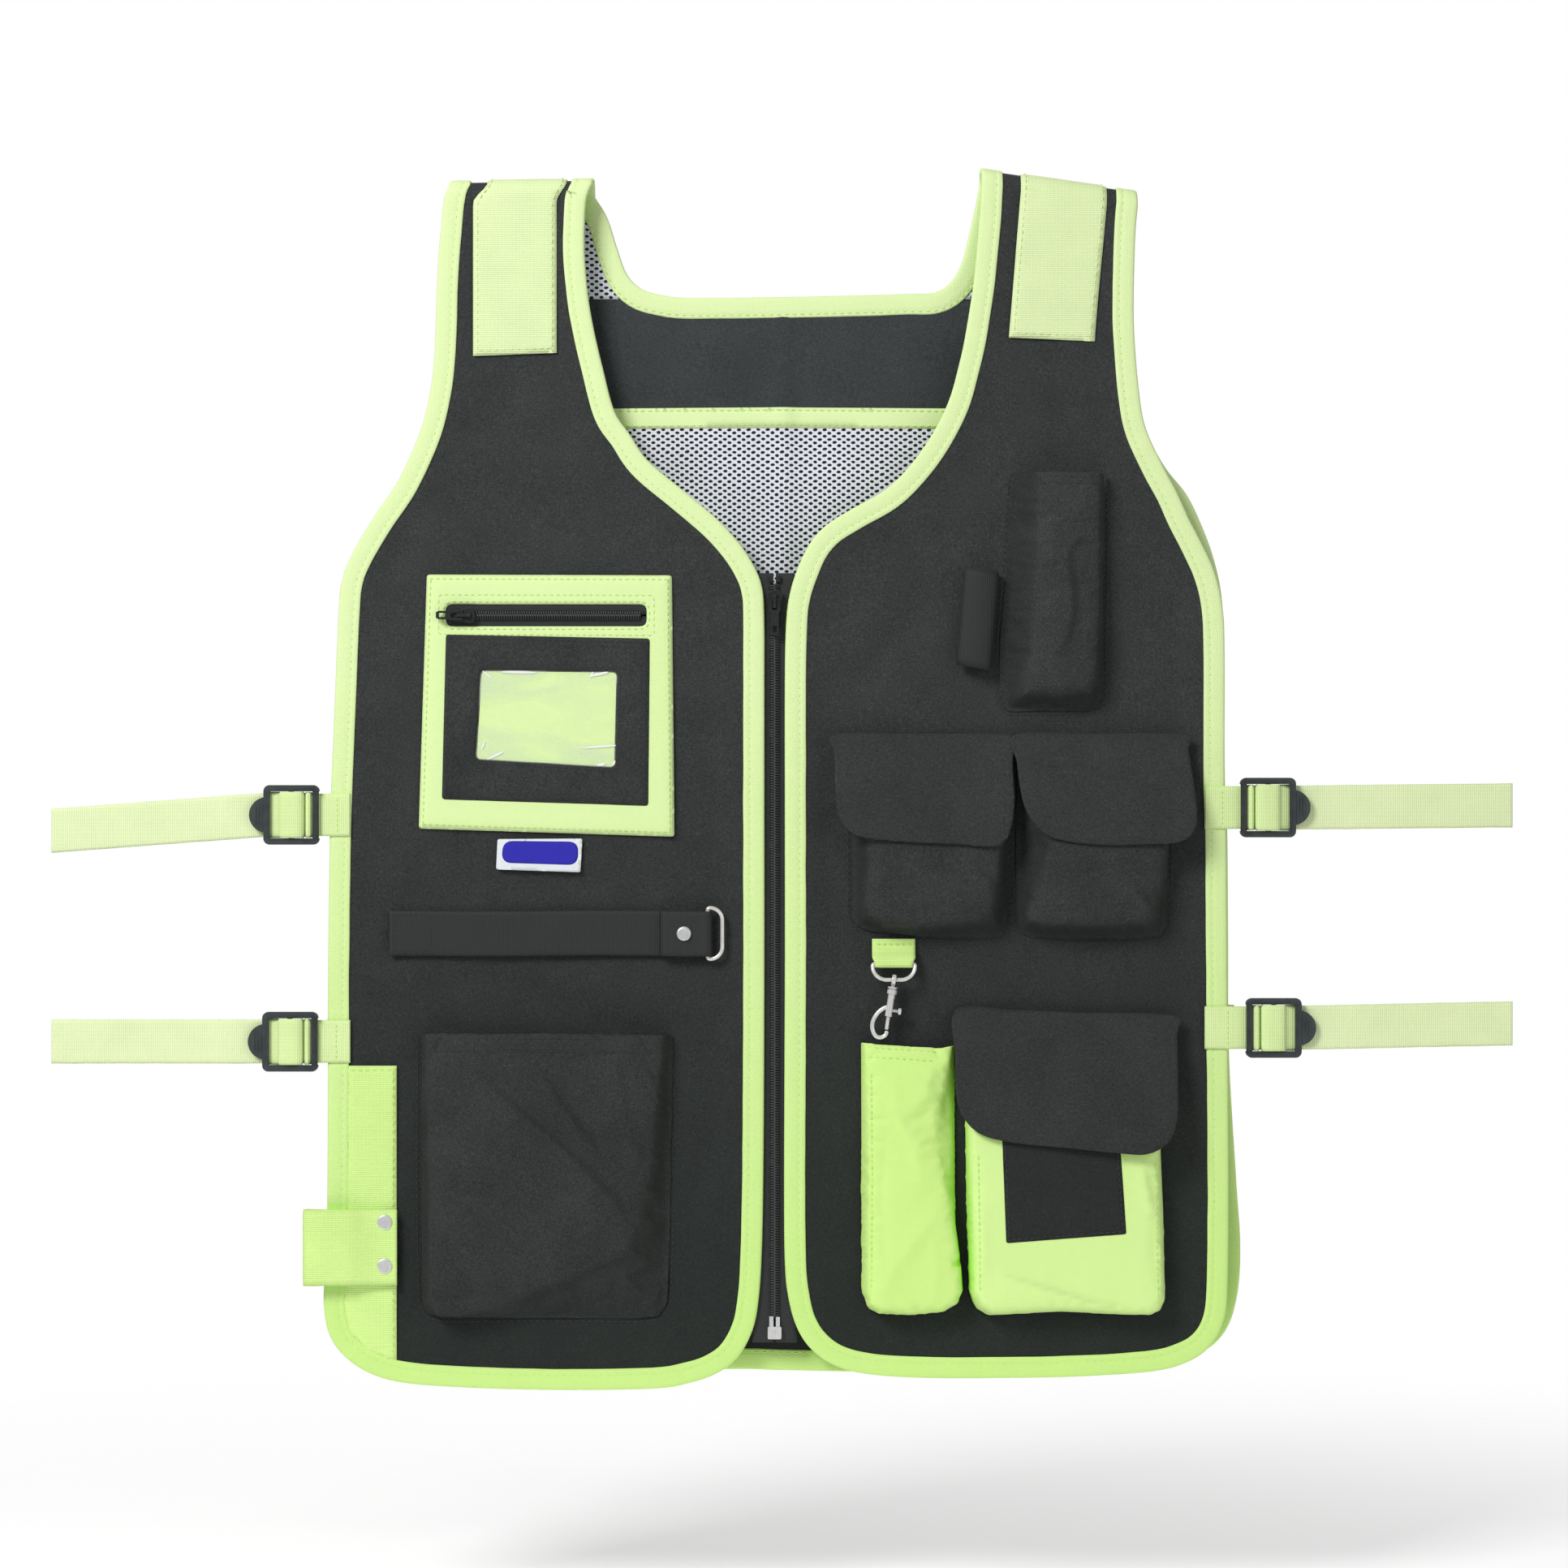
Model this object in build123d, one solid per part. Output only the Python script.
from build123d import *
import math
import os

"""High visibility tool vest, laid flat and hanging upright, with zip, pockets and side adjusters.

Millimetres. +X is the wearer's left, +Y the wearer's back, +Z up. The origin is the middle of the
bounding box's underside. The sections work in a frame whose Y = 0 lies between front and back,
and save() moves each piece by Y_SHIFT. "Depth" means a distance in front of the front
panels' outer face, towards -Y. "Side" is +1 or -1.
"""

os.makedirs("parts", exist_ok=True)

# ---- shared dimensions ----
Y_SHIFT = 10.628              # centres the bounding box on Y = 0
FABRIC = 1.2                  # shell fabric thickness
Y_FRONT = -9.2                # outer face of the front panels
Y_BACK = 9.4                  # outer face of the back panel
BACK_INSIDE = Y_BACK - FABRIC
LINING = 0.8                  # lining thickness
FOLD_Z = 701.34               # height at which the shoulders start to turn over
TURN_IN, TURN_OUT = -(Y_FRONT + FABRIC), -Y_FRONT   # radii of the cloth's shoulder turn
BIND_W = 12.4                 # visible width of the edge binding
BIND_T = 0.8                  # how far the binding stands proud of the cloth
GROOVE_INSET = 2.0            # edge to the bottom of the binding's groove
CLOTH_INSET = 2.1             # edge to the cloth's own edge
SLIP = 0.06                   # clearance between layers
RING_WIRE = 1.15              # D ring wire radius
RING_HOLE = RING_WIRE + 0.1   # bore of the eyes round the D rings' bars
CHAIN_HALF = 2.75             # half the width of a zip chain
CHAIN_GAP = 0.55              # half the gap between the coils, where the slider's neck runs
CHAIN_T = 2.2                 # thickness of a zip chain
PULL_OFF = 3.65               # zip pull in front of its chain's middle
RIVET_HOLES_AT = [(-232.04, 98.8), (-232.04, 73.15)]   # x, z
RIVET_HOLE_R = 1.6

# ---- measured edges as (x, z) ----
# Front panels: from the shoulder on the neck side, down the front, round the hem and up the
# armhole to the shoulder on the arm side.
RIGHT_FRONT = [
    (-110.91, 701.34), (-114.71, 689.23), (-115.66, 670.23), (-113.76, 643.62), (-110.44, 622.73),
    (-104.74, 598.02), (-98.09, 573.32), (-89.06, 559.55), (-78.61, 544.35), (-59.14, 527.73),
    (-38.24, 510.15), (-23.99, 494.47), (-14.96, 479.75), (-11.16, 467.88), (-10.21, 452.67),
    (-10.21, 415.15), (-10.21, 338.68), (-10.21, 243.67), (-10.69, 140.6), (-11.64, 84.08),
    (-13.54, 53.67), (-17.34, 34.67), (-26.36, 18.52), (-38.71, 9.5), (-53.91, 4.27),
    (-73.86, 0.95), (-127.06, 0.0), (-183.59, 1.42), (-221.11, 4.27), (-241.54, 9.97),
    (-256.26, 19.95), (-264.81, 32.3), (-268.14, 48.92), (-267.66, 72.67), (-266.24, 106.88),
    (-265.76, 196.17), (-265.76, 235.6), (-264.81, 316.35), (-263.86, 351.5), (-261.49, 409.92),
    (-259.59, 454.1), (-257.69, 473.57), (-251.04, 490.67), (-238.69, 511.57), (-224.44, 532.95),
    (-212.09, 560.5), (-206.39, 582.35), (-203.54, 605.15), (-202.11, 642.67), (-200.69, 671.17),
    (-197.84, 693.02), (-194.99, 701.34)]
LEFT_FRONT = [
    (116.85, 701.34), (115.66, 682.57), (112.34, 649.8), (107.59, 618.92), (103.79, 600.88),
    (97.61, 579.02), (87.64, 559.07), (74.81, 541.02), (60.09, 526.77), (40.14, 515.38),
    (25.41, 505.88), (15.91, 494.95), (9.26, 481.17), (4.51, 465.97), (2.38, 448.88),
    (1.66, 415.15), (1.66, 338.68), (1.66, 243.67), (1.19, 122.07), (1.66, 75.05),
    (3.56, 55.1), (8.31, 37.52), (16.86, 24.22), (30.16, 14.72), (49.16, 9.5),
    (82.89, 7.12), (136.09, 7.12), (176.46, 8.07), (216.84, 10.92), (236.79, 16.15),
    (250.09, 25.17), (258.64, 40.38), (261.01, 63.17), (261.49, 122.07), (261.01, 196.17),
    (260.54, 262.68), (260.06, 324.43), (259.11, 357.68), (259.11, 433.67), (257.69, 459.8),
    (252.94, 479.75), (245.34, 496.38), (238.21, 510.15), (231.09, 525.82), (223.01, 541.02),
    (213.04, 562.88), (209.24, 582.82), (206.39, 615.6), (205.91, 640.77), (206.86, 682.57),
    (208.29, 701.34)]
# Back panel's neck, from the right shoulder to the left
BACK_NECK = [
    (-109.96, 701.34), (-102.84, 689.23), (-97.14, 671.17), (-91.44, 655.5), (-83.36, 646.95),
    (-71.96, 643.15), (-53.91, 641.25), (-3.09, 641.73), (43.94, 642.67), (74.34, 643.62),
    (89.54, 644.1), (99.04, 649.32), (105.69, 659.3), (109.96, 673.55), (113.76, 689.23),
    (116.14, 701.34)]
# Back panel's outside, down the left armhole, round the hem and up the right armhole
BACK_OUTSIDE = [
    (208.29, 701.34), (207.34, 682.57), (206.86, 640.77), (207.34, 615.6), (209.71, 585.67),
    (214.46, 563.35), (225.39, 541.98), (238.69, 524.88), (248.19, 504.92), (254.84, 485.92),
    (259.11, 464.55), (260.54, 433.67), (261.01, 357.68), (262.44, 324.43), (262.91, 262.68),
    (263.39, 196.17), (267.66, 122.07), (270.04, 84.55), (268.61, 56.05), (262.44, 34.67),
    (250.09, 21.38), (231.09, 13.77), (202.59, 9.97), (112.34, 8.55), (45.36, 8.55),
    (-1.66, 9.5), (-34.91, 9.97), (-153.66, 8.07), (-220.16, 9.03), (-242.96, 14.72),
    (-257.21, 25.17), (-263.86, 40.38), (-265.76, 63.17), (-265.29, 122.07), (-264.81, 196.17),
    (-264.34, 262.68), (-263.86, 324.43), (-262.44, 357.68), (-260.54, 409.92), (-258.64, 454.1),
    (-256.26, 473.57), (-249.61, 490.67), (-237.26, 511.57), (-223.49, 532.95), (-211.14, 560.5),
    (-205.91, 582.35), (-203.06, 605.15), (-201.64, 642.67), (-200.21, 671.17), (-197.36, 693.02),
    (-194.99, 701.34)]


# ---- outline helpers ----
def smooth(points, step=4.0):
    """Catmull-Rom curve through the points, resampled every few millimetres."""
    (x0, z0), (x1, z1) = points[:2]
    (x2, z2), (x3, z3) = points[-2:]
    padded = [(2 * x0 - x1, 2 * z0 - z1), *points, (2 * x3 - x2, 2 * z3 - z2)]
    curve = []
    for a, b, c, d in zip(padded, padded[1:], padded[2:], padded[3:]):
        count = max(1, int(math.hypot(c[0] - b[0], c[1] - b[1]) / step))
        for k in range(count):
            t = k / count
            curve.append(tuple(
                0.5 * (2 * b[j] + (c[j] - a[j]) * t
                       + (2 * a[j] - 5 * b[j] + 4 * c[j] - d[j]) * t * t
                       + (3 * b[j] - a[j] - 3 * c[j] + d[j]) * t ** 3)
                for j in (0, 1)))
    curve.append(padded[-2])
    return curve


def inset(path, distance, side):
    """The path moved sideways, with both ends kept at the shoulder fold."""
    moved = []
    for i, (x, z) in enumerate(path):
        before, after = path[max(0, i - 1)], path[min(len(path) - 1, i + 1)]
        dx, dz = after[0] - before[0], after[1] - before[1]
        length = math.hypot(dx, dz)
        moved.append((x - side * dz / length * distance, z + side * dx / length * distance))
    moved[0], moved[-1] = (moved[0][0], FOLD_Z), (moved[-1][0], FOLD_Z)
    return moved


def thin(paths, tolerance=0.25):
    """Drops the stations the first path can spare within tolerance, from every path."""
    lead = paths[0]
    keep = {0, len(lead) - 1}

    def split(a, b):
        if b - a < 2:
            return
        (x0, z0), (x1, z1) = lead[a], lead[b]
        length = math.hypot(x1 - x0, z1 - z0) or 1e-9
        farthest, at = max(
            (abs((x1 - x0) * (z0 - lead[i][1]) - (x0 - lead[i][0]) * (z1 - z0)) / length, i)
            for i in range(a + 1, b))
        if farthest > tolerance:
            keep.add(at)
            split(a, at)
            split(at, b)

    split(0, len(lead) - 1)
    return [[path[i] for i in sorted(keep)] for path in paths]


def edge_paths(edge, side):
    """The edge, the groove's bottom, the cloth's edge, the binding's inner edge, 1 mm past it."""
    insets = (GROOVE_INSET, CLOTH_INSET, BIND_W, BIND_W + 1)
    return thin([edge] + [inset(edge, distance, side) for distance in insets])


# ---- solid helpers ----
def joined(shapes):
    """The shapes added together in order."""
    first, *others = shapes
    for shape in others:
        first = first + shape
    return first


def prism(points, y0, y1):
    """A polygon of (x, z), from y0 (front) to y1."""
    face = make_face(Polyline(*[(x, y1, z) for x, z in points], close=True))
    return extrude(face, amount=y1 - y0, dir=(0, -1, 0))


def prism_x(points, x0, x1):
    """A polygon of (y, z), from x0 to x1."""
    face = make_face(Polyline(*[(x0, y, z) for y, z in points], close=True))
    return extrude(face, amount=x1 - x0, dir=(1, 0, 0))


def prism_z(points, z0, z1):
    """A polygon of (x, y), from z0 to z1."""
    face = make_face(Polyline(*[(x, y, z0) for x, y in points], close=True))
    return extrude(face, amount=z1 - z0, dir=(0, 0, 1))


def sheet(corners, depth0, depth1):
    """A polygon of (x, z) lying between two depths."""
    return prism(corners, Y_FRONT - depth1, Y_FRONT - depth0)


def block(*limits):
    """A box given its two limits along X, Y and Z."""
    middle = [(a + b) / 2 for a, b in limits]
    return Pos(*middle) * Box(*[abs(b - a) for a, b in limits])


def rod(start, end, radius):
    """A cylinder from start to end."""
    along = Vector(*end) - Vector(*start)
    bottom = (Align.CENTER, Align.CENTER, Align.MIN)
    return Plane(origin=start, z_dir=along) * Cylinder(radius, along.length, align=bottom)


def x_cylinder(radius, length):
    return Rot(0, 90, 0) * Cylinder(radius, length)


def wire(path, radius):
    """A round wire along the path."""
    return sweep(Plane(origin=path @ 0, z_dir=path % 0) * Circle(radius), path=path)


def turn_over(x0, x1, r0, r1, side=0):
    """The shoulder's half round between two radii. Side -1 keeps the front half, +1 the back."""
    middle, width = (x0 + x1) / 2, x1 - x0
    ring = Rot(0, 90, 0) * (Cylinder(r1, width) - Cylinder(r0, width + 1))
    ring = Pos(middle, 0, FOLD_Z) * ring
    ring = ring & (Pos(middle, 0, FOLD_Z + 20) * Box(width + 2, 60, 40))
    if side:
        ring = ring & (Pos(middle, side * 20.03, FOLD_Z) * Box(width + 2, 40, 80))
    return ring


def binding_turn(paths, end, radii, groove_radii, side):
    """The binding over the shoulder at one end (0 or -1) of its edge, with its groove cut."""
    edge_x, groove_x, _, inner_x, _ = [path[end][0] for path in paths]
    low, high = sorted((edge_x, inner_x))
    groove = (groove_x, high + 1) if edge_x == low else (low - 1, groove_x)
    turn = turn_over(low, high, *radii, side)
    return turn - turn_over(*groove, *groove_radii, side)


def save(name, shape):
    export_step(Pos(0, Y_SHIFT, 0) * shape, f"parts/{name}.step")


# ---- front panels and their bindings ----
def front_panel(paths):
    cloth = paths[2]
    low, high = sorted((cloth[0][0], cloth[-1][0]))
    panel = prism(cloth, Y_FRONT, Y_FRONT + FABRIC)
    return panel + turn_over(low, high, TURN_IN, TURN_OUT, -1)


def front_binding(paths):
    edge, groove, _, inner, past = paths
    ring = prism(edge + inner[::-1], Y_FRONT - BIND_T, Y_FRONT + FABRIC + BIND_T)
    ring = ring - prism(groove + past[::-1], Y_FRONT - SLIP, Y_FRONT + FABRIC + SLIP)
    radii = (TURN_IN - BIND_T, TURN_OUT + BIND_T)
    groove_radii = (TURN_IN - SLIP, TURN_OUT + SLIP)
    for end in (0, -1):
        ring = ring + binding_turn(paths, end, radii, groove_radii, -1)
    return ring


right_edge = smooth(RIGHT_FRONT)
right_paths = edge_paths(right_edge, -1)
left_paths = edge_paths(smooth(LEFT_FRONT), 1)
rivet_holes = [rod((x, 5, z), (x, -40, z), RIVET_HOLE_R) for x, z in RIVET_HOLES_AT]

right_panel = front_panel(right_paths)
for hole in rivet_holes:
    right_panel = right_panel - hole
save("right_front_panel", right_panel)
save("left_front_panel", front_panel(left_paths))
save("right_front_binding", front_binding(right_paths))
save("left_front_binding", front_binding(left_paths))

# ---- back panel, its binding and linings ----
YOKE_Z = 570.48                         # seam between the yoke lining and the mesh
SEAM_HALF = 0.05
TAPE_H, TAPE_T = 12.0, 0.7              # seam tape
MESH_IN, MESH_OUT = 5.8, 6.5            # radii of the shoulder mesh
MESH_FRONT_H, MESH_BACK_H = 80, 50      # shoulder mesh below the fold

back_side = smooth(BACK_OUTSIDE)
neck_paths = edge_paths(smooth(BACK_NECK), -1)
side_paths = edge_paths(back_side, -1)
neck_cloth, side_cloth = neck_paths[2], side_paths[2]
back_cloth = neck_cloth + side_cloth


def back_panel():
    """The flat cloth and its turns, which overlap where their thicknesses do."""
    panel = prism(back_cloth, BACK_INSIDE, Y_BACK)
    for neck_end, side_end in ((0, -1), (-1, 0)):
        low, high = sorted((neck_cloth[neck_end][0], side_cloth[side_end][0]))
        panel = panel + turn_over(low, high, TURN_IN, TURN_OUT, 1)
    return panel


def back_binding():
    """Wraps the cloth and the lining together."""
    both = (neck_paths, side_paths)
    lining_face = BACK_INSIDE - LINING
    ring = joined(prism(edge + inner[::-1], lining_face - BIND_T, Y_BACK + BIND_T)
                  for edge, _, _, inner, _ in both)
    for _, groove, _, _, past in both:
        ring = ring - prism(groove + past[::-1], lining_face - SLIP, Y_BACK + SLIP)
    for paths in both:
        for end in (0, -1):
            ring = ring + binding_turn(paths, end, (7.0, Y_BACK + BIND_T), (7.3, Y_BACK + SLIP), 1)
    return ring


def back_lining(z0, z1):
    """The lining of the back between two heights."""
    lining = prism(back_cloth, BACK_INSIDE - LINING, BACK_INSIDE - SLIP)
    return lining & (Pos(0, 0, (z0 + z1) / 2) * Box(1000, 200, z1 - z0))


def seam_tape():
    near = [x for x, z in inset(back_side, BIND_W, -1) if abs(z - YOKE_Z) < 12]
    low = max(x for x in near if x < 0) + 0.4
    high = min(x for x in near if x > 0) - 0.4
    middle = Pos((low + high) / 2, BACK_INSIDE - LINING - 0.5, YOKE_Z - 1.5)
    return middle * Box(high - low, TAPE_T, TAPE_H)


def shoulder_mesh(paths):
    """Mesh inside one shoulder, from the front panel over to the yoke."""
    inner = paths[3]
    low, high = sorted((inner[0][0], inner[-1][0]))
    low, high = low + 0.6, high - 0.6
    return (turn_over(low, high, MESH_IN, MESH_OUT)
            + block((low, high), (-MESH_OUT, -MESH_IN), (FOLD_Z - MESH_FRONT_H, FOLD_Z))
            + block((low, high), (MESH_IN, MESH_OUT), (FOLD_Z - MESH_BACK_H, FOLD_Z)))


save("back_panel", back_panel())
save("back_binding", back_binding())
save("back_yoke_lining", back_lining(YOKE_Z + SEAM_HALF, FOLD_Z - 0.1))
save("back_seam_tape", seam_tape())
save("mesh_linings", back_lining(-5, YOKE_Z - SEAM_HALF)
     + joined(shoulder_mesh(paths) for paths in (right_paths, left_paths)))

# ---- shoulder webbing, from the chest over the shoulder to the back ----
WEBBING_IN, WEBBING_OUT = 9.32, 11.2
WEBBING_BACK_IN = 9.5
WEBBING_BACK_H = 95
# two chest corners as (x, z), then the X limits at the fold
WEBBINGS = [((-180.26, 605.62), (-131.81, 606.57), -177.41, -128.01),
            ((132.76, 616.07), (183.59, 613.7), 139.89, 189.29)]


def shoulder_webbing(low_corner, high_corner, low, high):
    front = [low_corner, high_corner, (high, FOLD_Z), (low, FOLD_Z)]
    foot = FOLD_Z - WEBBING_BACK_H
    back = [(low, foot), (high, foot), (high, FOLD_Z), (low, FOLD_Z)]
    return (prism(front, -WEBBING_OUT, -WEBBING_IN)
            + turn_over(low, high, WEBBING_IN, WEBBING_OUT)
            + prism(back, WEBBING_BACK_IN, WEBBING_OUT))


save("shoulder_webbings", joined(shoulder_webbing(*row) for row in WEBBINGS)
     - prism(back_cloth, 9.0, Y_BACK + SLIP))

# ---- main zip ----
ZIP_X = -4.3
ZIP_Y = -8.3                             # middle of the chain
ZIP_LOW, ZIP_TOP = 43.23, 472.62         # chain
TAPE_LOW, TAPE_TOP = 27.55, 478.32
ZIP_TAPE_W = 13
RETAINER_Z = 29.92                       # underside of the retainer box
SLIDER_Z = 461.7
COIL_W = CHAIN_HALF - CHAIN_GAP


def zip_tape(side):
    middle = Pos(ZIP_X + side * (CHAIN_GAP + ZIP_TAPE_W / 2), ZIP_Y + 1.55,
                 (TAPE_TOP + TAPE_LOW) / 2)
    return middle * Box(ZIP_TAPE_W, 0.6, TAPE_TOP - TAPE_LOW)


def zip_coil(side):
    middle = Pos(ZIP_X + side * (CHAIN_GAP + COIL_W / 2), ZIP_Y, (ZIP_TOP + ZIP_LOW) / 2)
    return middle * Box(COIL_W, CHAIN_T, ZIP_TOP - ZIP_LOW)


def top_stop(side):
    stop = fillet(Box(2.4, 2.3, 4.0).edges(), 0.4)
    return Pos(ZIP_X + side * 2.2, ZIP_Y, ZIP_TOP + 2.3) * stop


def retainer_box():
    """The box at the zip's foot, with a post on the -X side and the pin's socket on the +X side."""
    box = fillet(Box(8.0, 2.9, 7.2).edges().filter_by(Axis.Y), 0.8)
    box = Pos(ZIP_X, ZIP_Y - 0.3, RETAINER_Z + 3.6) * box
    box = box + Pos(ZIP_X - 1.9, ZIP_Y - 0.1, RETAINER_Z + 10.2) * Box(2.4, 2.2, 6.2)
    return box - Pos(ZIP_X + 1.9, ZIP_Y - 0.1, RETAINER_Z + 5.0) * Box(2.9, 2.0, 8.2)


def insert_pin():
    pin = fillet(Box(2.3, 1.6, 12.0).edges().filter_by(Axis.Y), 0.5)
    return Pos(ZIP_X + 1.9, ZIP_Y - 0.1, RETAINER_Z + 7.0) * pin


def slider():
    """Zip slider, chain plane at y = 0, nose up, its wings joined by the neck between the coils."""
    outline = [(-4.2, 5.6), (-2.0, 6.6), (2.0, 6.6), (4.2, 5.6), (4.6, 3.0),
               (3.6, -1.5), (3.4, -5.8), (-3.4, -5.8), (-3.6, -1.5), (-4.6, 3.0)]
    front = prism(outline, -2.7, -1.5)
    front = fillet(front.edges().filter_by(Axis.Y), 0.6)
    front = fillet(front.faces().sort_by(Axis.Y)[0].edges(), 0.35)
    rear = prism([(x * 0.96, z * 0.98) for x, z in outline], 2.15, 3.05)
    rear = fillet(rear.edges().filter_by(Axis.Y), 0.6)
    neck = Pos(0, 0.3, 4.2) * Box(0.7, 4.4, 3.2)
    body = front + rear + neck
    for side in (-1, 1):                 # the front wing's flanges beside the chain
        body = body + Pos(side * 3.65, -0.75, -1.8) * Box(0.7, 1.6, 7.0)
    arch = [(-2.6, 4.6), (-5.0, 4.0), (-5.6, 2.6), (-5.6, -2.4), (-5.0, -3.9), (-2.6, -4.5),
            (-2.6, -3.3), (-4.3, -2.8), (-4.6, -2.0), (-4.6, 2.2), (-4.3, 2.9), (-2.6, 3.4)]
    return body + prism_x(arch, -1.0, 1.0)


def pull(length):
    """Pull tab hanging from its bar at the origin, with a window at the bar and a slot below."""
    tab = prism([(-2.9, 0.6), (2.9, 0.6), (3.1, -6.5), (2.5, -8.0), (2.5, -length + 1.6),
                 (1.7, -length), (-1.7, -length), (-2.5, -length + 1.6), (-2.5, -8.0),
                 (-3.1, -6.5)], -0.7, 0.7)
    tab = fillet(tab.edges().filter_by(Axis.Y), 0.45)
    tab = tab - Pos(0, 0, -3.45) * Box(2.9, 4, 5.8)
    return tab - Pos(0, 0, -length + 3.6) * Box(2.4, 4, 3.6)


save("zip_tapes", joined(zip_tape(side) for side in (-1, 1)))
save("zip_coils", joined(zip_coil(side) for side in (-1, 1)))
save("zip_top_stops", joined(top_stop(side) for side in (-1, 1)))
save("zip_retainer_box", retainer_box())
save("zip_insert_pin", insert_pin())
save("zip_slider", Pos(ZIP_X, ZIP_Y, SLIDER_Z) * slider())
save("zip_pull", Pos(ZIP_X, ZIP_Y - PULL_OFF, SLIDER_Z + 1.0) * pull(21))

# ---- ID pocket with its zip, badge window and label; corners as (x, z) ----
ID_POCKET = [(-207.81, 477.38), (-64.36, 476.9), (-62.94, 323.95), (-212.56, 328.7)]
ID_SLOT_X, ID_SLOT_Z = (-198.31, -79.56), (446.5, 460.27)
ID_ZIP_LOW, ID_ZIP_HIGH = -197.36, -80.51      # X limits
ID_ZIP_Z = 453.39
ID_CHAIN_Y = Y_FRONT - 3.4
ID_TAPE_W = 10.0
ID_SLIDER_X = -185.96
BADGE = [(-196.41, 442.22), (-77.19, 439.85), (-78.14, 342.0), (-198.79, 345.8)]
BADGE_HOLE = [(-175.51, 420.85), (-96.66, 419.9), (-98.09, 364.8), (-178.36, 369.55)]
WINDOW = [(-181.21, 426.55), (-90.96, 425.12), (-92.39, 359.1), (-184.06, 364.32)]
LABEL_X, LABEL_Z = (-166.01, -117.09), (303.05, 322.87)


def id_panel():
    slot = block(ID_SLOT_X, (Y_FRONT - 8, Y_FRONT), ID_SLOT_Z)
    return sheet(ID_POCKET, 2.1, 3.3) - fillet(slot.edges().filter_by(Axis.Y), 3.0)


def id_zip_strip(side, y, width, thick, extra):
    """One half of the ID zip's tape or chain, longer than the zip by extra."""
    middle = Pos((ID_ZIP_LOW + ID_ZIP_HIGH) / 2, y, ID_ZIP_Z + side * (CHAIN_GAP + width / 2))
    return middle * Box(ID_ZIP_HIGH - ID_ZIP_LOW + extra, thick, width)


save("id_pocket_panel", id_panel())
save("id_zip_tape", joined(id_zip_strip(side, Y_FRONT - 1.7, ID_TAPE_W, 0.5, 8)
                           for side in (-1, 1)))
save("id_zip_coil", joined(id_zip_strip(side, ID_CHAIN_Y, COIL_W, CHAIN_T, -3)
                           for side in (-1, 1)))
nose_left = Rot(0, 90, 0)                # nose towards +X, pull towards -X
save("id_zip_slider", Pos(ID_SLIDER_X, ID_CHAIN_Y, ID_ZIP_Z) * (nose_left * slider()))
save("id_zip_pull", Pos(ID_SLIDER_X - 1.0, ID_CHAIN_Y - PULL_OFF, ID_ZIP_Z)
     * (nose_left * pull(15)))
save("id_badge_panel", sheet(BADGE, 4.0, 4.9) - sheet(BADGE_HOLE, 3, 6))
save("id_window", sheet(WINDOW, 3.4, 3.9))
save("label_tag", block(LABEL_X, (Y_FRONT - 1.5, Y_FRONT - 0.9), LABEL_Z))

# ---- snap strap with its D ring ----
STRAP_Z, STRAP_W, STRAP_T = 267.43, 27.0, 1.2
STRAP_X = (-229.66, -45.36)
STRAP_UNDER, STRAP_OVER = 1.5, 5.7       # middle depths of the two layers
STRAP_FOLD_X = -70.54                    # where the upper layer meets the lower one
STRAP_MID = (STRAP_UNDER + STRAP_OVER) / 2
STRAP_RING_X, STRAP_RING_Y = -43.46, Y_FRONT - STRAP_MID
SNAP_X = -57.24


def strap_layer(x_limits, depth, thick=STRAP_T):
    middle = Pos(sum(x_limits) / 2, Y_FRONT - depth, STRAP_Z)
    return middle * Box(x_limits[1] - x_limits[0], thick, STRAP_W)


def snap_rod(depth0, depth1, radius):
    return rod((SNAP_X, Y_FRONT - depth0, STRAP_Z), (SNAP_X, Y_FRONT - depth1, STRAP_Z), radius)


def utility_strap():
    """The strap, doubled back round the D ring's bar."""
    strap = strap_layer(STRAP_X, STRAP_UNDER)
    strap = strap + strap_layer((STRAP_FOLD_X, STRAP_RING_X), STRAP_OVER)
    strap = strap + strap_layer((STRAP_FOLD_X, STRAP_FOLD_X + STRAP_T), STRAP_MID,
                                STRAP_OVER - STRAP_UNDER + STRAP_T)
    bar = Pos(STRAP_RING_X, STRAP_RING_Y, STRAP_Z)
    eye = bar * (Cylinder(2.7, STRAP_W) - Cylinder(RING_HOLE, 30.0))
    strap = strap - bar * Cylinder(2.6, 30) + eye
    return strap - snap_rod(0, 9, 1.7)


def snap_cap():
    cap = snap_rod(6.32, 8.2, 4.3)
    cap = fillet(cap.edges().sort_by(Axis.Y)[0], 1.3)
    return cap + snap_rod(0.95, 6.6, 1.6)


def d_ring(half, depth):
    """D ring: a bar along X through the origin, with the bow hanging depth below it."""
    corner = 1.5                         # corner radius at the bar
    bow = depth - corner                 # corner radius of the bow
    diagonal = math.sqrt(0.5)
    x_corner = half - corner + corner * diagonal
    z_corner = -corner + corner * diagonal
    x_bow = half - bow + bow * diagonal
    z_bow = -corner - bow * diagonal
    edges = [
        Line((-half + corner, 0, 0), (half - corner, 0, 0)),
        ThreePointArc((half - corner, 0, 0), (x_corner, 0, z_corner), (half, 0, -corner)),
        ThreePointArc((half, 0, -corner), (x_bow, 0, z_bow), (half - bow, 0, -depth)),
        Line((half - bow, 0, -depth), (-half + bow, 0, -depth)),
        ThreePointArc((-half + bow, 0, -depth), (-x_bow, 0, z_bow), (-half, 0, -corner)),
        ThreePointArc((-half, 0, -corner), (-x_corner, 0, z_corner), (-half + corner, 0, 0))]
    return joined(wire(edge, RING_WIRE) for edge in edges)


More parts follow.
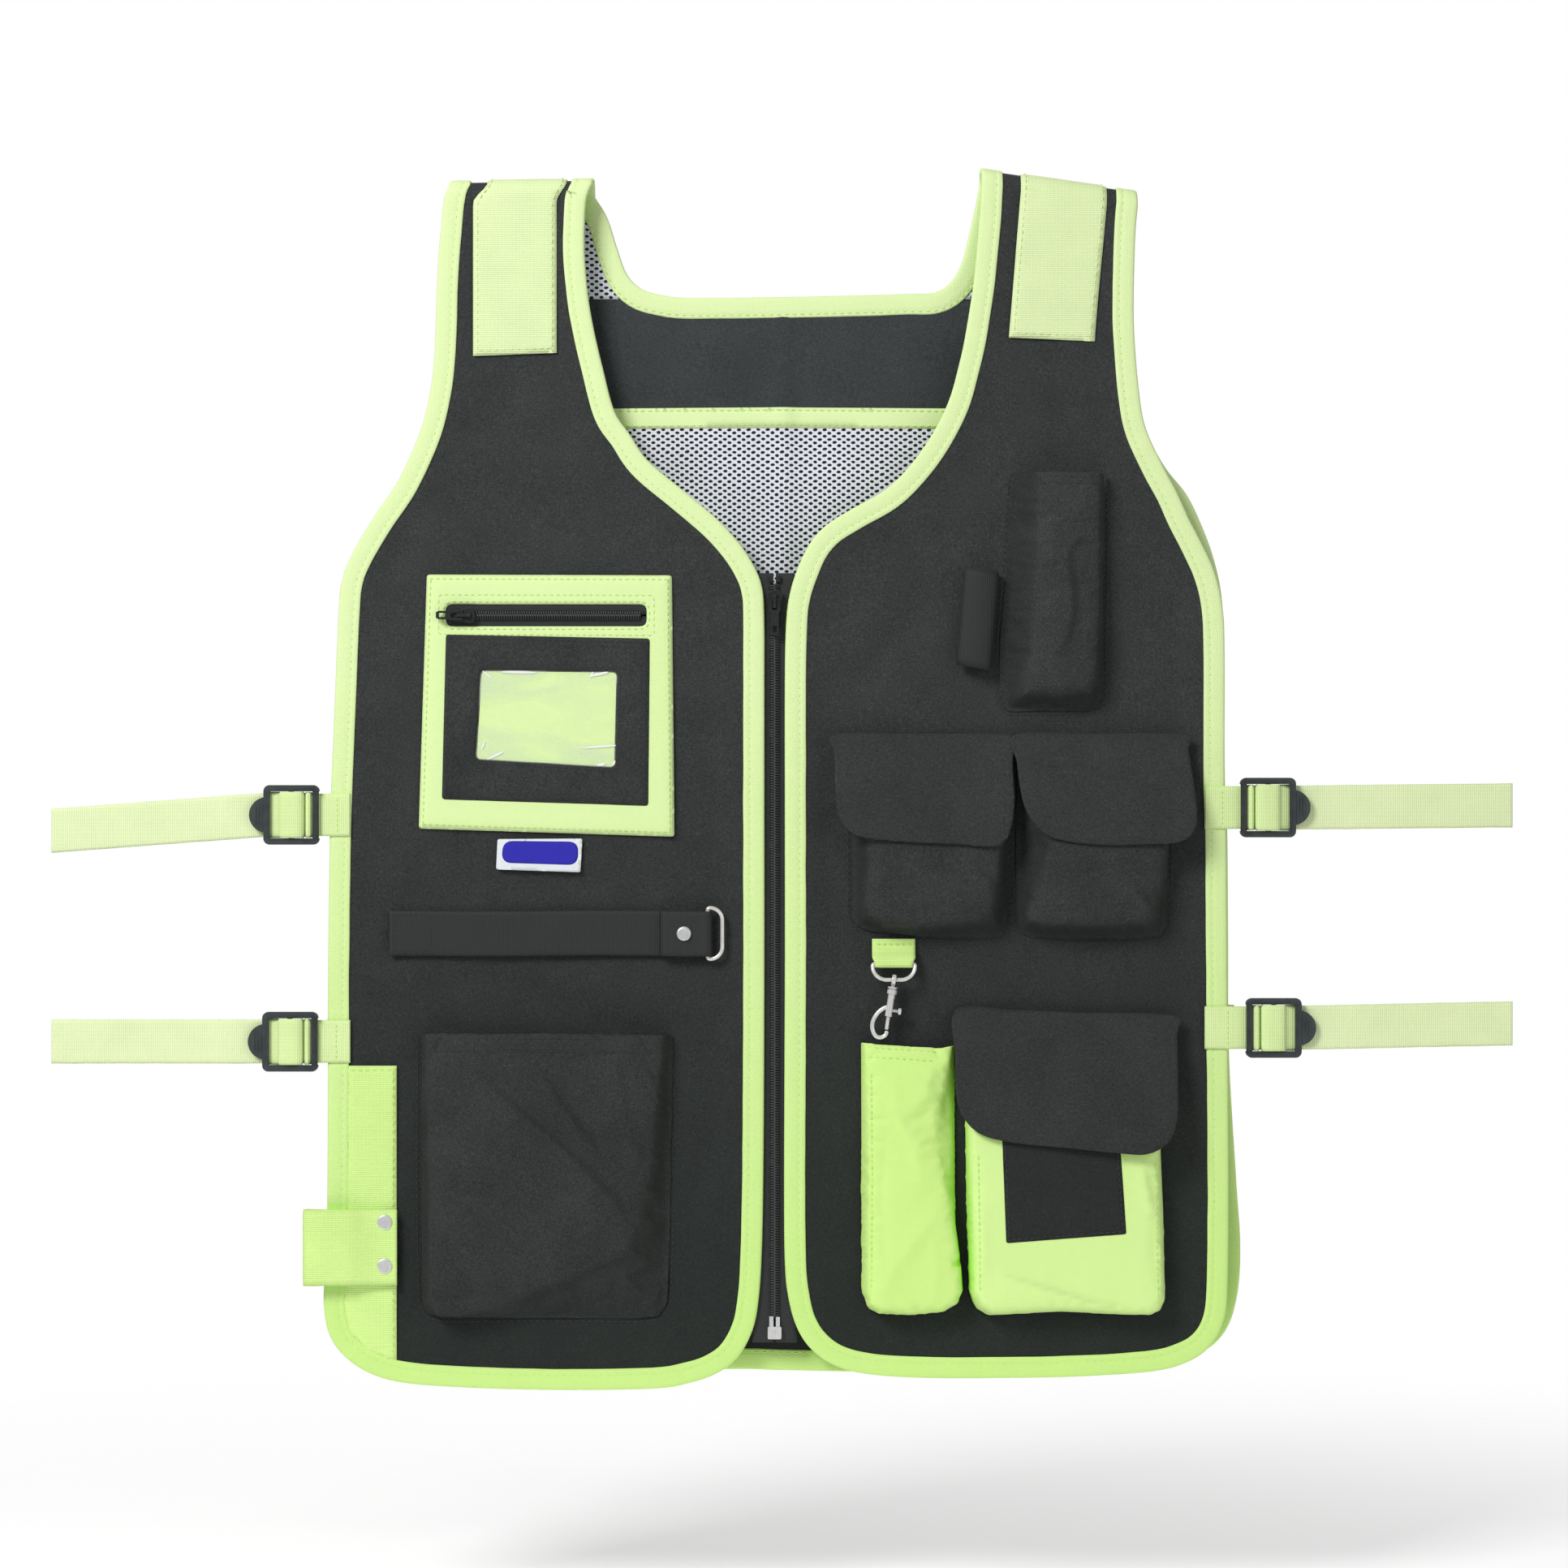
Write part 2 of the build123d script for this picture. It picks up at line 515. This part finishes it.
save("utility_strap", utility_strap())
save("utility_snap_cap", snap_cap())
save("utility_snap_stud", snap_rod(0.1, 0.8, 4.6))
# this ring's bow points to +X
save("utility_d_ring", Pos(STRAP_RING_X, STRAP_RING_Y, STRAP_Z)
     * (Rot(0, -90, 0) * d_ring(13.8 + RING_WIRE, 8.6)))

# ---- open pouches on the front panels ----
POUCH_Y = Y_FRONT - 0.15                 # rear face of every pouch
POUCH_WALL = 1.1
# name: x0, z0, x1, z1, then the depths at the mouth and at the foot
POUCHES = {"cargo_pocket": (-209.71, 43.23, -64.36, 209.47, 11.0, 17.0),
           "radio_pocket": (132.76, 396.62, 187.39, 533.42, 11.0, 15.0),
           "narrow_pocket": (45.84, 44.65, 100.94, 202.82, 9.0, 16.0)}


def pouch(x0, z0, x1, z1, mouth, foot):
    """An open-topped bellows pouch."""
    y, wall = POUCH_Y, POUCH_WALL
    outer = [(y, z0), (y, z1), (y - mouth, z1), (y - foot, z0 + 16), (y - foot * 0.82, z0)]
    inner = [(y - 0.7, z0 + wall), (y - 0.7, z1 + 5), (y - mouth + wall, z1 + 5),
             (y - mouth + wall, z1), (y - foot + wall, z0 + 16),
             (y - foot * 0.82 + wall, z0 + wall)]
    return prism_x(outer, x0, x1) - prism_x(inner, x0 + wall, x1 - wall)


for name, sizes in POUCHES.items():
    save(name, pouch(*sizes))

# ---- flapped pockets ----
FLAP_SLOPE = 12.5                        # how far the flaps stand off, degrees
FLAP_DEPTH = 4.2                         # depth of the flaps' hinges
FLAP_T = 1.3
FLAP_WALL = 1.0                          # wall of the pockets under the flaps
CHEST_Z, LOWER_Z = 382.38, 221.35        # hinge heights
CHEST_DROP, LOWER_DROP = 63, 74          # from the hinge to where the pocket's front turns down
CHEST_UNDER, LOWER_UNDER = 0.9, 2.4      # pocket front below the flap's hinge plane
# name: x0, x1, z0, z1, hinge z, drop, under
FLAP_POCKETS = {
    "inner_chest_pocket": (41.09, 131.34, 264.57, 375.72, CHEST_Z, CHEST_DROP, CHEST_UNDER),
    "outer_chest_pocket": (137.51, 222.54, 264.1, 375.72, CHEST_Z, CHEST_DROP, CHEST_UNDER),
    "lower_pocket": (109.01, 224.44, 44.65, 214.22, LOWER_Z, LOWER_DROP, LOWER_UNDER)}
# name: x0, x1, foot z, hinge z, corner radius, how much lower the +X corner is
FLAPS = {"inner_chest_flap": (30.64, 136.32, 319.2, CHEST_Z, 12.35, 0.95),
         "outer_chest_flap": (137.51, 242.49, 319.68, CHEST_Z, 13.3, 0.0),
         "lower_flap": (101.89, 230.14, 152.47, LOWER_Z, 14.25, 13.3)}
LOOP_X, LOOP_LOW = (129.44, 199.74), 87.88
HOOK_X, HOOK_Z = (136.09, 193.09), (154.38, 184.3)
PATCH_T = 0.8


def front_depth(drop, under):
    """Depth of a pocket's front at a drop below its flap's hinge."""
    return FLAP_DEPTH + drop * math.tan(math.radians(FLAP_SLOPE)) - under


def flap_pocket(x0, x1, z0, z1, hinge, drop, under):
    """A pocket whose front slopes with the flap, then drops straight."""
    wall = FLAP_WALL
    y_top = Y_FRONT - front_depth(hinge - z1, under)
    deep = front_depth(drop, under)
    y_deep, y_foot = Y_FRONT - deep, Y_FRONT - deep * 0.8
    z_turn = hinge - drop
    outer = [(POUCH_Y, z0), (POUCH_Y, z1), (y_top, z1), (y_deep, z_turn), (y_deep, z0 + 10),
             (y_foot, z0)]
    inner = [(POUCH_Y - 0.6, z0 + wall), (POUCH_Y - 0.6, z1 + 4), (y_top + wall, z1 + 4),
             (y_top + wall, z1), (y_deep + wall, z_turn), (y_deep + wall, z0 + 10),
             (y_foot + wall, z0 + wall)]
    return prism_x(outer, x0, x1) - prism_x(inner, x0 + wall, x1 - wall)


def hang(shape, hinge):
    """Tilts a shape drawn below the origin and moves it to its hinge."""
    return Pos(0, Y_FRONT - FLAP_DEPTH, hinge) * (Rot(-FLAP_SLOPE, 0, 0) * shape)


def flap(x0, x1, foot, hinge, radius, skew):
    """A flap with rounded lower corners, standing off at FLAP_SLOPE."""
    angles = [math.pi / 2 * k / 6 for k in range(7)]
    outline = [(x0, hinge), (x1, hinge)]
    outline += [(x1 - radius + radius * math.cos(a), foot - skew + radius - radius * math.sin(a))
                for a in angles]
    outline += [(x0 + radius - radius * math.sin(a), foot + radius - radius * math.cos(a))
                for a in angles]
    return hang(prism([(x, z - hinge) for x, z in outline], -FLAP_T, 0), hinge)


def loop_patch():
    """On the lower pocket's front."""
    y = Y_FRONT - front_depth(LOWER_DROP, LOWER_UNDER) - 0.45
    top = LOWER_Z - LOWER_DROP - 0.5
    return block(LOOP_X, (y - PATCH_T / 2, y + PATCH_T / 2), (LOOP_LOW, top))


def hook_patch():
    """Under the lower flap."""
    x0, x1 = HOOK_X
    low, top = [z - LOWER_Z for z in HOOK_Z]
    corners = [(x0, top), (x1, top), (x1, low), (x0, low)]
    return hang(prism(corners, 0.05, 0.05 + PATCH_T), LOWER_Z)


for name, sizes in FLAP_POCKETS.items():
    save(name, flap_pocket(*sizes))
for name, sizes in FLAPS.items():
    save(name, flap(*sizes))
save("lower_pocket_loop_patch", loop_patch())
save("lower_flap_hook_patch", hook_patch())

# ---- pen loop ----
PEN_R, PEN_WALL = 6.0, 1.0
PEN_X, PEN_Y = 113.76, Y_FRONT - 0.2 - PEN_WALL - PEN_R
PEN_Z = (422.75, 479.75)
PEN_FLANGE_X = 131.81                    # far edge of the sewn flange


def pen_loop():
    middle = Pos(PEN_X, PEN_Y, sum(PEN_Z) / 2)
    height = PEN_Z[1] - PEN_Z[0]
    tube = middle * Cylinder(PEN_R + PEN_WALL, height)
    flange = block((PEN_X, PEN_FLANGE_X), (Y_FRONT - 1.2, Y_FRONT - 0.2), PEN_Z)
    return tube + flange - middle * Cylinder(PEN_R, height + 4)


save("pen_loop", pen_loop())

# ---- side webbing and hammer loop, on the right front panel ----
WEB_INNER_X = -225.39
WEB_TOP = 190.0
HAMMER_X = (-280.01, -224.91)
HAMMER_Z = (61.75, 106.4)
HAMMER_Y = Y_FRONT - 1.5                 # rear face of the loop


def side_webbing():
    """Follows the binding's inner edge on its outer side."""
    edge = [(x, z) for x, z in inset(right_edge, BIND_W + 0.4, -1)
            if x < -225.86 and 10.92 < z < 187.62]
    edge = thin([edge])[0]
    outline = [(WEB_INNER_X, edge[0][1])] + edge + [(edge[-1][0], WEB_TOP), (WEB_INNER_X, WEB_TOP)]
    webbing = sheet(outline, 0.1, 1.35)
    for hole in rivet_holes:
        webbing = webbing - hole
    return webbing


def hammer_loop():
    """A band looped out past the panel's -X edge and back."""
    (x0, x1), y, (z0, z1) = HAMMER_X, HAMMER_Y, HAMMER_Z
    outer = [(x1, y), (x0 + 4.5, y), (x0 + 1.5, y - 1.2), (x0, y - 4.0), (x0 + 1.5, y - 7.0),
             (x0 + 4.5, y - 8.2), (x0 + 34, y - 8.2), (x1 - 12.5, y - 2.5), (x1, y - 2.5)]
    inner = [(x1 - 12.0, y - 1.2), (x0 + 5.2, y - 1.2), (x0 + 2.6, y - 2.2), (x0 + 1.3, y - 4.0),
             (x0 + 2.6, y - 6.0), (x0 + 5.2, y - 7.0), (x0 + 33.5, y - 7.0),
             (x1 - 12.8, y - 1.35)]
    loop = prism_z(outer, z0, z1) - prism_z(inner, z0 - 1, z1 + 1)
    for hole in rivet_holes:
        loop = loop - hole
    return loop


def rivet(x, z):
    """Cap in front of the loop, shank, and washer behind the panel."""
    inside = Y_FRONT + FABRIC
    cap = rod((x, HAMMER_Y - 2.56, z), (x, HAMMER_Y - 4.3, z), 4.5)
    cap = fillet(cap.edges().sort_by(Axis.Y)[0], 0.9)
    shank = rod((x, inside + 0.7, z), (x, HAMMER_Y - 3, z), 1.5)
    return cap + shank + rod((x, inside + SLIP, z), (x, inside + 0.9, z), 4.0)


save("side_webbing", side_webbing())
save("hammer_loop", hammer_loop())
save("hammer_loop_rivets", joined(rivet(x, z) for x, z in RIVET_HOLES_AT))

# ---- key tab, D ring and swivel snap hook ----
KEY_X, KEY_Y, KEY_Z = 65.31, Y_FRONT - 5.2, 249.85    # middle of the ring's bar
KEY_TAB_W = 25.6
KEY_RING_HALF, KEY_RING_DEPTH = 12.4, 9.8
RING_TILT = 18.0                         # the ring's bow stands forward, degrees
HOOK_LEAN = 8.5                          # the hook leans to -X, degrees
# the hook's eye sits on the bow
EYE_Y = KEY_Y - KEY_RING_DEPTH * math.sin(math.radians(RING_TILT))
EYE_Z = KEY_Z - KEY_RING_DEPTH * math.cos(math.radians(RING_TILT))
# middle line of the hook's arm: from the barrel out to -X, round the foot and back to the gate
ARM = [(-1.6, 0, -16.2), (-4.4, 0, -18.0), (-7.2, 0, -21.8), (-8.6, 0, -26.5),
       (-7.6, 0, -31.4), (-4.4, 0, -34.4), (-1.2, 0, -33.6), (0.3, 0, -31.0)]
ARM_R = 1.25


def key_tab():
    profile = [(Y_FRONT - 0.15, 264.2), (Y_FRONT - 1.6, 264.2), (KEY_Y - 2.35, KEY_Z),
               (KEY_Y - 1.2, KEY_Z), (KEY_Y + 1.2, KEY_Z), (KEY_Y + 2.3, KEY_Z),
               (Y_FRONT - 0.15, KEY_Z + 11)]
    bar = Pos(KEY_X, KEY_Y, KEY_Z)
    tab = prism_x(profile, KEY_X - KEY_TAB_W / 2, KEY_X + KEY_TAB_W / 2)
    tab = tab + bar * x_cylinder(2.4, KEY_TAB_W)
    tab = tab - bar * x_cylinder(RING_HOLE, 40)
    for side in (-1, 1):                 # room for the ring's shoulders
        tab = tab - Pos(KEY_X + side * 13.2, KEY_Y, KEY_Z) * Box(4.8, 8, 5.6)
    return tab


def hook_place(shape):
    """Places a shape whose axis runs down -Z from the eye at the origin."""
    return Pos(KEY_X, EYE_Y, EYE_Z) * (Rot(0, HOOK_LEAN, 0) * shape)


def turned(radius, z0, z1):
    """A cylinder on the hook's axis."""
    return Pos(0, 0, (z0 + z1) / 2) * Cylinder(radius, abs(z1 - z0))


def hook_eye():
    """Lug with a hole for the ring's bow, and a headed swivel pin below it."""
    lug = fillet(x_cylinder(3.1, 2.4).edges(), 0.5)
    lug = lug - x_cylinder(1.75, 6)
    return lug + turned(1.15, -2.4, -6.8) + turned(1.9, -6.1, -6.9)


def hook_body():
    """Swivel housing, barrel and arm, bored for the bolt, with a slot for its knob."""
    body = (turned(2.9, -4.2, -5.0) + turned(2.3, -4.9, -6.2) + turned(2.9, -5.9, -8.3)
            + turned(2.1, -8.2, -21.5))
    body = body - turned(1.3, -4.0, -6.05) - turned(2.1, -5.95, -7.1)
    arm = wire(Spline(*ARM), ARM_R)
    body = body + arm + Pos(*ARM[0]) * Sphere(ARM_R) + Pos(*ARM[-1]) * Sphere(ARM_R)
    body = body - turned(1.25, -9.6, -30.0)
    return body - Pos(2.2, 0, -15.6) * Box(4.4, 2.3, 9.6)


def hook_bolt():
    """Sliding bolt with its knob on the +X side."""
    knob = fillet((Pos(6.1, 0, -17.8) * x_cylinder(2.0, 1.8)).edges(), 0.4)
    return turned(1.12, -16.6, -29.2) + (Pos(3.2, 0, -17.8) * x_cylinder(0.95, 5.4)) + knob


save("key_tab", key_tab())
save("key_d_ring", Pos(KEY_X, KEY_Y, KEY_Z)
     * (Rot(-RING_TILT, 0, 0) * d_ring(KEY_RING_HALF, KEY_RING_DEPTH)))
save("snap_hook_eye", hook_place(hook_eye()))
save("snap_hook_body", hook_place(hook_body()))
save("snap_hook_bolt", hook_place(hook_bolt()))
spring_path = Helix(pitch=1.15, height=5.2, radius=0.72, center=(0, 0, -15.9))
save("snap_hook_spring", hook_place(wire(spring_path, 0.2)))

# ---- side adjusters: sewn tab, ladder buckle, strap tail, and the stub sewn into the back ----
# name, side, bar x, z
ADJUSTERS = [("right_upper", -1, -272.4, 336.77), ("right_lower", -1, -273.1, 204.25),
             ("left_upper", 1, 269.8, 341.05), ("left_lower", 1, 273.1, 212.32)]
TAB_INNER_X = {-1: -252.46, 1: 247.24}   # sewn end of the tabs, by side
STRAP_END = 427.5                        # free end of the strap tails, from x = 0
SIDE_WEB_W = 25.4
BAR_Y, BAR_R = -13.4, 1.9                # the ladder buckle's end bar
BUCKLE_HALF_H = 17.4
BUCKLE_WINDOW_H = 2 * 13.7


def ladder_buckle():
    """Ladder buckle with its end bar on the Z axis and its tongue towards +X."""
    buckle = Pos(14.1, 0, 0) * Box(32.6, 4.0, 2 * BUCKLE_HALF_H)
    buckle = fillet(buckle.edges().filter_by(Axis.Y), 3.6)
    buckle = buckle - Pos(14.3, 0, 0) * Box(24.8, 8, BUCKLE_WINDOW_H)
    buckle = buckle - Box(5.0, 8, BUCKLE_WINDOW_H)
    buckle = buckle + Cylinder(BAR_R, BUCKLE_WINDOW_H + 2)
    tongue = Pos(28.4, -0.5, 0) * Rot(90, 0, 0) * Cylinder(10.4, 2.4)
    buckle = buckle + (tongue & (Pos(35.0, 0, 0) * Box(12, 10, 30)))
    middle_bar = fillet(Box(3.0, 2.0, BUCKLE_WINDOW_H + 2).edges().filter_by(Axis.Z), 0.6)
    buckle = buckle + Pos(14.4, 0.9, 0) * middle_bar
    for x in (31.6, 33.4, 35.2):         # grip ribs on the tongue
        buckle = buckle + Pos(x, -1.8, 0) * Box(0.7, 0.5, 9.0)
    return buckle


def side_tab(side, bar_x, z):
    """Passes behind the buckle's end bar and curls round its outward side."""
    inner_x = TAB_INNER_X[side]
    flat = Pos((inner_x + bar_x) / 2, BAR_Y + BAR_R + 0.65, z)
    flat = flat * Box(abs(inner_x - bar_x), 1.0, SIDE_WEB_W)
    curl = Cylinder(BAR_R + 1.15, SIDE_WEB_W) - Cylinder(BAR_R + 0.15, SIDE_WEB_W + 2)
    curl = curl & (Pos(side * 5, 3.9, 0) * Box(10, 10, 60))
    return flat + Pos(bar_x, BAR_Y, z) * curl


def strap_tail(side, bar_x, z):
    start, end = bar_x + side * 4.6, side * STRAP_END
    middle = Pos((start + end) / 2, BAR_Y + BAR_R + 0.75, z)
    return middle * Box(abs(end - start), 1.2, SIDE_WEB_W)


def back_stub(side, z):
    """Runs from inside the back panel's edge to just past it."""
    edge_x = side * max(side * x for x, edge_z in back_side if abs(edge_z - z) < 14)
    start, end = edge_x - side * 14, edge_x + side * 3.0
    return Pos((start + end) / 2, 5.6, z) * Box(abs(end - start), 1.2, SIDE_WEB_W)


for name, side, bar_x, z in ADJUSTERS:
    buckle = ladder_buckle()
    if side < 0:
        buckle = mirror(buckle, Plane.YZ)
    save(name + "_buckle", Pos(bar_x, BAR_Y, z) * buckle)
    save(name + "_strap", strap_tail(side, bar_x, z))
save("side_tabs", joined(side_tab(side, bar_x, z) for _, side, bar_x, z in ADJUSTERS))
save("back_strap_stubs", joined(back_stub(side, z) for _, side, _, z in ADJUSTERS))
